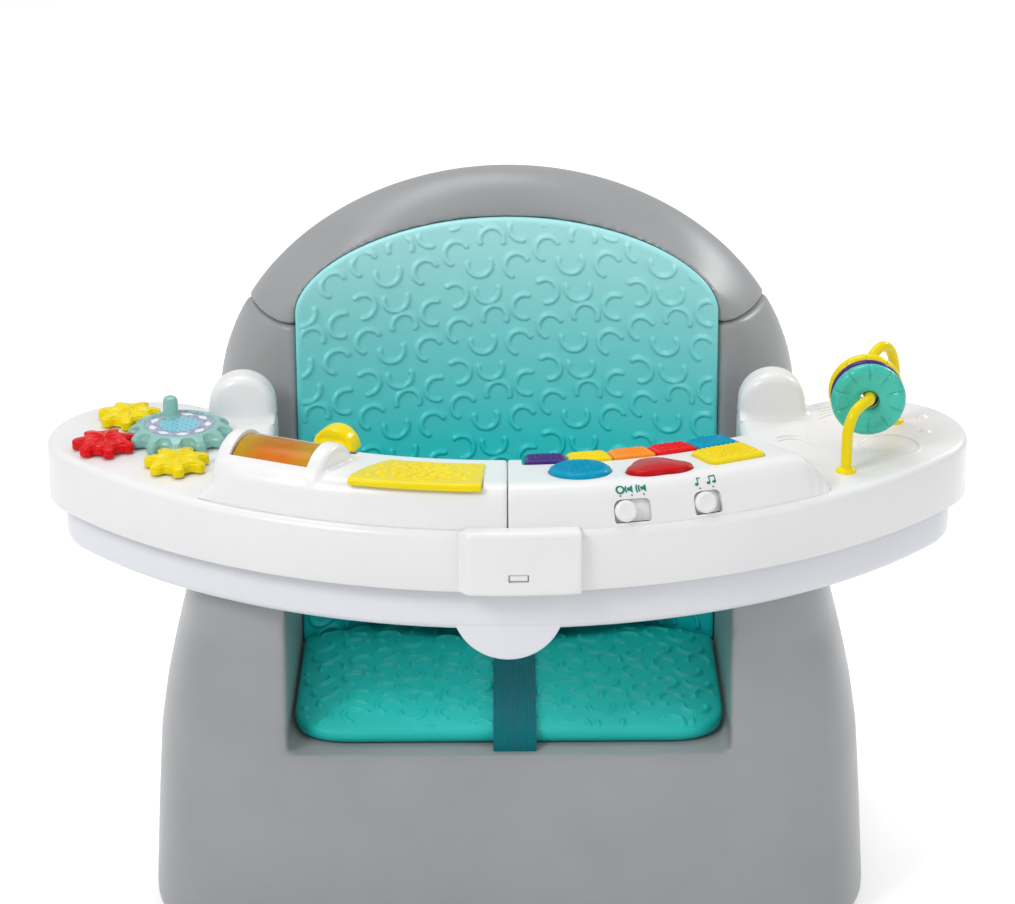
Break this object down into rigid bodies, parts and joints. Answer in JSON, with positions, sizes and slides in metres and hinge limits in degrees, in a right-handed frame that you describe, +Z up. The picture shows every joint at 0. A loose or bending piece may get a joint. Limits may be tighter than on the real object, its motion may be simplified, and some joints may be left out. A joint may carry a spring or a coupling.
{
  "type": "baby floor seat with activity tray",
  "caption": "Low moulded floor seat for a baby, with foam pads, a harness, a crescent snack tray and a lift-off activity tray carrying gears, keys, buttons, a drum and beads.",
  "frame": {"origin": "centre of the bounding box's footprint on the floor", "axes": "+X to the right seen from the front, +Y towards the back of the seat, +Z up; the child faces -Y"},
  "size_m": [0.48, 0.2789, 0.3577],
  "materials": {
    "grey_shell": "fine satin",
    "teal_foam": "soft satin",
    "rubber": "matte",
    "steel": "zinc plated",
    "webbing": "ribbed weave",
    "black_plastic": "satin",
    "white_plastic": "semi-gloss",
    "pale_teal": "semi-gloss",
    "sticker": "printed film",
    "red": "gloss",
    "yellow": "gloss",
    "amber": "clear tinted plastic",
    "orange": "gloss",
    "purple": "gloss",
    "blue": "gloss",
    "teal_toy": "semi-gloss",
    "cell": "printed film",
    "board": "solder mask"
  },
  "bodies": {
    "seat": {"seat_shell": "grey_shell", "backrest_arch": "grey_shell", "back_pad": "teal_foam", "seat_pad": "teal_foam", "base_plate": "grey_shell", "foot_pads": "rubber", "base_screws": "steel", "crotch_strap": "webbing", "waist_strap_left": "webbing", "waist_strap_right": "webbing", "buckle": "black_plastic"},
    "snack": {"snack_tray": "white_plastic"},
    "toy_tray": {"toy_tray_shell": "white_plastic", "left_console": "white_plastic", "right_console": "white_plastic", "latch_cover": "white_plastic", "tray_bottom": "white_plastic", "tray_screws": "steel", "battery_door": "white_plastic", "batteries": "cell", "circuit_board": "board", "keypad_mat": "rubber", "loudspeaker": "black_plastic", "gear_spindles": "white_plastic", "drum_axle": "steel", "flap_pin": "steel", "bead_wire": "yellow"},
    "crank": {"crank_gear": "pale_teal", "gear_sticker": "sticker"},
    "red_gear": {"red_gear": "red"},
    "front_yellow_gear": {"front_yellow_gear": "yellow"},
    "rear_yellow_gear": {"rear_yellow_gear": "yellow"},
    "drum": {"drum": "amber", "drum_core": "orange"},
    "thumb_slider": {"thumb_slider": "yellow"},
    "flap": {"flap": "yellow"},
    "purple_key": {"purple_key": "purple"},
    "yellow_key": {"yellow_key": "yellow"},
    "orange_key": {"orange_key": "orange"},
    "red_key": {"red_key": "red"},
    "blue_key": {"blue_key": "blue"},
    "round_button": {"round_button": "blue"},
    "red_button": {"red_button": "red"},
    "square_button": {"square_button": "yellow"},
    "volume_switch": {"volume_switch": "white_plastic"},
    "tune_switch": {"tune_switch": "white_plastic"},
    "latch_button": {"latch_button": "white_plastic"},
    "teal_disc": {"teal_disc": "teal_toy"},
    "purple_disc": {"purple_disc": "purple"},
    "yellow_disc": {"yellow_disc": "yellow"}
  },
  "joints": [
    {"name": "snack_tray_lift", "type": "slide", "parent": "seat", "child": "snack", "axis": [0, 0, 1], "range_m": [0, 0.08]},
    {"name": "toy_tray_lift", "type": "slide", "parent": "snack", "child": "toy_tray", "axis": [0, 0, 1], "range_m": [0, 0.06]},
    {"name": "crank_gear_spin", "type": "hinge", "parent": "toy_tray", "child": "crank", "pos_m": [-0.16973, -0.00552, 0.2485], "axis": [0, 0, 1], "continuous": true},
    {"name": "red_gear_spin", "type": "hinge", "parent": "toy_tray", "child": "red_gear", "pos_m": [-0.20734, -0.01884, 0.2485], "axis": [0, 0, 1], "continuous": true},
    {"name": "front_yellow_gear_spin", "type": "hinge", "parent": "toy_tray", "child": "front_yellow_gear", "pos_m": [-0.16764, -0.04536, 0.2485], "axis": [0, 0, 1], "continuous": true},
    {"name": "rear_yellow_gear_spin", "type": "hinge", "parent": "toy_tray", "child": "rear_yellow_gear", "pos_m": [-0.19919, 0.02139, 0.2485], "axis": [0, 0, 1], "continuous": true},
    {"name": "drum_spin", "type": "hinge", "parent": "toy_tray", "child": "drum", "pos_m": [-0.11113, -0.07897, 0.252], "axis": [0.9107, -0.4131, 0], "continuous": true},
    {"name": "thumb_slide", "type": "slide", "parent": "toy_tray", "child": "thumb_slider", "axis": [0.9323, -0.3616, 0], "range_m": [-0.008, 0.008]},
    {"name": "flap_press", "type": "hinge", "parent": "toy_tray", "child": "flap", "pos_m": [-0.03955, -0.08369, 0.2564], "axis": [0.9877, -0.1564, 0], "range_deg": [0, 2.5], "stiffness_Nm_per_rad": 0.2, "springref_deg": -3.44},
    {"name": "purple_key_press", "type": "slide", "parent": "toy_tray", "child": "purple_key", "axis": [0, 0, -1], "range_m": [0, 0.002], "stiffness_N_per_m": 300, "springref_m": -0.002},
    {"name": "yellow_key_press", "type": "slide", "parent": "toy_tray", "child": "yellow_key", "axis": [0, 0, -1], "range_m": [0, 0.002], "stiffness_N_per_m": 300, "springref_m": -0.002},
    {"name": "orange_key_press", "type": "slide", "parent": "toy_tray", "child": "orange_key", "axis": [0, 0, -1], "range_m": [0, 0.002], "stiffness_N_per_m": 300, "springref_m": -0.002},
    {"name": "red_key_press", "type": "slide", "parent": "toy_tray", "child": "red_key", "axis": [0, 0, -1], "range_m": [0, 0.002], "stiffness_N_per_m": 300, "springref_m": -0.002},
    {"name": "blue_key_press", "type": "slide", "parent": "toy_tray", "child": "blue_key", "axis": [0, 0, -1], "range_m": [0, 0.002], "stiffness_N_per_m": 300, "springref_m": -0.002},
    {"name": "round_button_press", "type": "slide", "parent": "toy_tray", "child": "round_button", "axis": [0, 0, -1], "range_m": [0, 0.002], "stiffness_N_per_m": 300, "springref_m": -0.002},
    {"name": "red_button_press", "type": "slide", "parent": "toy_tray", "child": "red_button", "axis": [0, 0, -1], "range_m": [0, 0.002], "stiffness_N_per_m": 300, "springref_m": -0.002},
    {"name": "square_button_press", "type": "slide", "parent": "toy_tray", "child": "square_button", "axis": [0, 0, -1], "range_m": [0, 0.002], "stiffness_N_per_m": 300, "springref_m": -0.002},
    {"name": "volume_slide", "type": "slide", "parent": "toy_tray", "child": "volume_switch", "axis": [0.9785, 0.2062, 0], "range_m": [0, 0.0073]},
    {"name": "tune_slide", "type": "slide", "parent": "toy_tray", "child": "tune_switch", "axis": [0.9432, 0.3322, 0], "range_m": [0, 0.0031]},
    {"name": "latch_press", "type": "slide", "parent": "toy_tray", "child": "latch_button", "axis": [0, 1, 0], "range_m": [0, 0.0014], "stiffness_N_per_m": 300, "springref_m": -0.002},
    {"name": "teal_disc_spin", "type": "hinge", "parent": "toy_tray", "child": "teal_disc", "pos_m": [0.183, -0.036, 0.2766], "axis": [0, 1, 0], "continuous": true},
    {"name": "purple_disc_spin", "type": "hinge", "parent": "toy_tray", "child": "purple_disc", "pos_m": [0.183, -0.0289, 0.2766], "axis": [0, 1, 0], "continuous": true},
    {"name": "yellow_disc_spin", "type": "hinge", "parent": "toy_tray", "child": "yellow_disc", "pos_m": [0.183, -0.0215, 0.2766], "axis": [0, 1, 0], "continuous": true}
  ],
  "couplings": [
    {"joint": "red_gear_spin", "follows": "crank_gear_spin", "ratio": -1.7143},
    {"joint": "front_yellow_gear_spin", "follows": "crank_gear_spin", "ratio": -1.7143},
    {"joint": "rear_yellow_gear_spin", "follows": "crank_gear_spin", "ratio": -1.7143}
  ]
}
